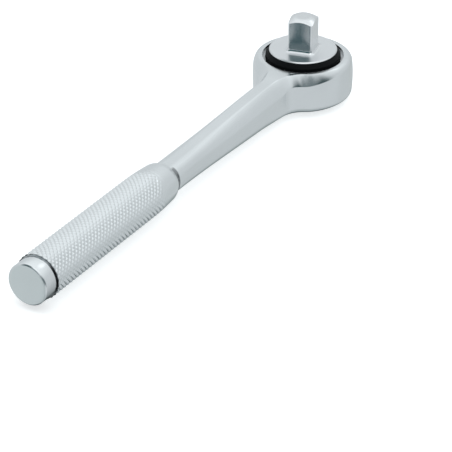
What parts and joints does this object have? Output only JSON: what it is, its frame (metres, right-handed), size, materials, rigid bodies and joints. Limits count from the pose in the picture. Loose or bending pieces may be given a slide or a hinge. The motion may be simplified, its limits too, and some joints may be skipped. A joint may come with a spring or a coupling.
{
  "type": "ratchet wrench",
  "caption": "Round-head ratchet wrench with a square drive, black seal ring, flat-sided shank, knurled round grip and a selector dial on the back.",
  "frame": {"origin": "on the drive axis, where the flats of the square begin above their root fillet", "axes": "+Z along the drive square, away from the head; the handle runs along -X; +Y completes the right hand"},
  "size_m": [0.2718, 0.0504, 0.0445],
  "materials": {
    "forging_chrome": "satin chrome plate on a steel forging",
    "drive_chrome": "bright chrome plate",
    "dial_chrome": "satin chrome plate",
    "seal_rubber": "black, smooth",
    "inner_steel": "hardened and oiled",
    "screw_steel": "zinc plated",
    "spring_steel": "hard bright steel",
    "ball_steel": "polished",
    "washer_brass": "plain"
  },
  "bodies": {
    "handle_body": {"handle": "forging_chrome", "retaining_ring": "spring_steel", "thrust_washer": "washer_brass"},
    "rotor_body": {"drive_rotor": "drive_chrome", "rotor_cover": "inner_steel", "cover_screws": "inner_steel", "seal_ring": "seal_rubber", "pawl_pin_left": "inner_steel", "pawl_pin_right": "inner_steel", "selector_screw": "screw_steel", "anvil_spring": "spring_steel", "pawl_spring_left": "spring_steel", "pawl_spring_right": "spring_steel"},
    "selector_body": {"selector_dial": "dial_chrome", "selector_cam": "inner_steel", "selector_o_ring": "seal_rubber", "detent_ball": "ball_steel", "detent_spring": "spring_steel"},
    "left_pawl_body": {"pawl_left": "inner_steel"},
    "right_pawl_body": {"pawl_right": "inner_steel"},
    "left_plunger_body": {"pawl_plunger_left": "inner_steel"},
    "right_plunger_body": {"pawl_plunger_right": "inner_steel"},
    "anvil_ball_body": {"anvil_ball": "ball_steel"}
  },
  "joints": [
    {"name": "drive_spin", "type": "hinge", "parent": "handle_body", "child": "rotor_body", "pos_m": [0, 0, 0], "axis": [0, 0, 1], "continuous": true},
    {"name": "selector_turn", "type": "hinge", "parent": "rotor_body", "child": "selector_body", "pos_m": [0, 0, 0], "axis": [0, 0, -1], "range_deg": [0, 30]},
    {"name": "pawl_left_rock", "type": "hinge", "parent": "rotor_body", "child": "left_pawl_body", "pos_m": [-0.01405, 0.00655, 0], "axis": [0, 0, -1], "range_deg": [0, 9.17]},
    {"name": "pawl_right_rock", "type": "hinge", "parent": "rotor_body", "child": "right_pawl_body", "pos_m": [-0.01405, -0.00655, 0], "axis": [0, 0, -1], "range_deg": [0, 9.17]},
    {"name": "plunger_left_slide", "type": "slide", "parent": "rotor_body", "child": "left_plunger_body", "axis": [0.6855, -0.7281, 0], "range_m": [0, 0.00136], "deforming": ["pawl_spring_left"]},
    {"name": "plunger_right_slide", "type": "slide", "parent": "rotor_body", "child": "right_plunger_body", "axis": [-0.6855, -0.7281, 0], "range_m": [0, 0.00136], "deforming": ["pawl_spring_right"]},
    {"name": "anvil_ball_press", "type": "slide", "parent": "rotor_body", "child": "anvil_ball_body", "axis": [-0.9711, -0.2385, 0], "range_m": [0, 0.00095], "stiffness_N_per_m": 400, "springref_m": -0.002, "deforming": ["anvil_spring"]}
  ],
  "couplings": [
    {"joint": "pawl_left_rock", "follows": "selector_turn", "ratio": 0.30558},
    {"joint": "pawl_right_rock", "follows": "selector_turn", "ratio": 0.30558},
    {"joint": "plunger_left_slide", "follows": "selector_turn", "m_per_rad": 0.0025974},
    {"joint": "plunger_right_slide", "follows": "selector_turn", "m_per_rad": 0.0025974}
  ]
}
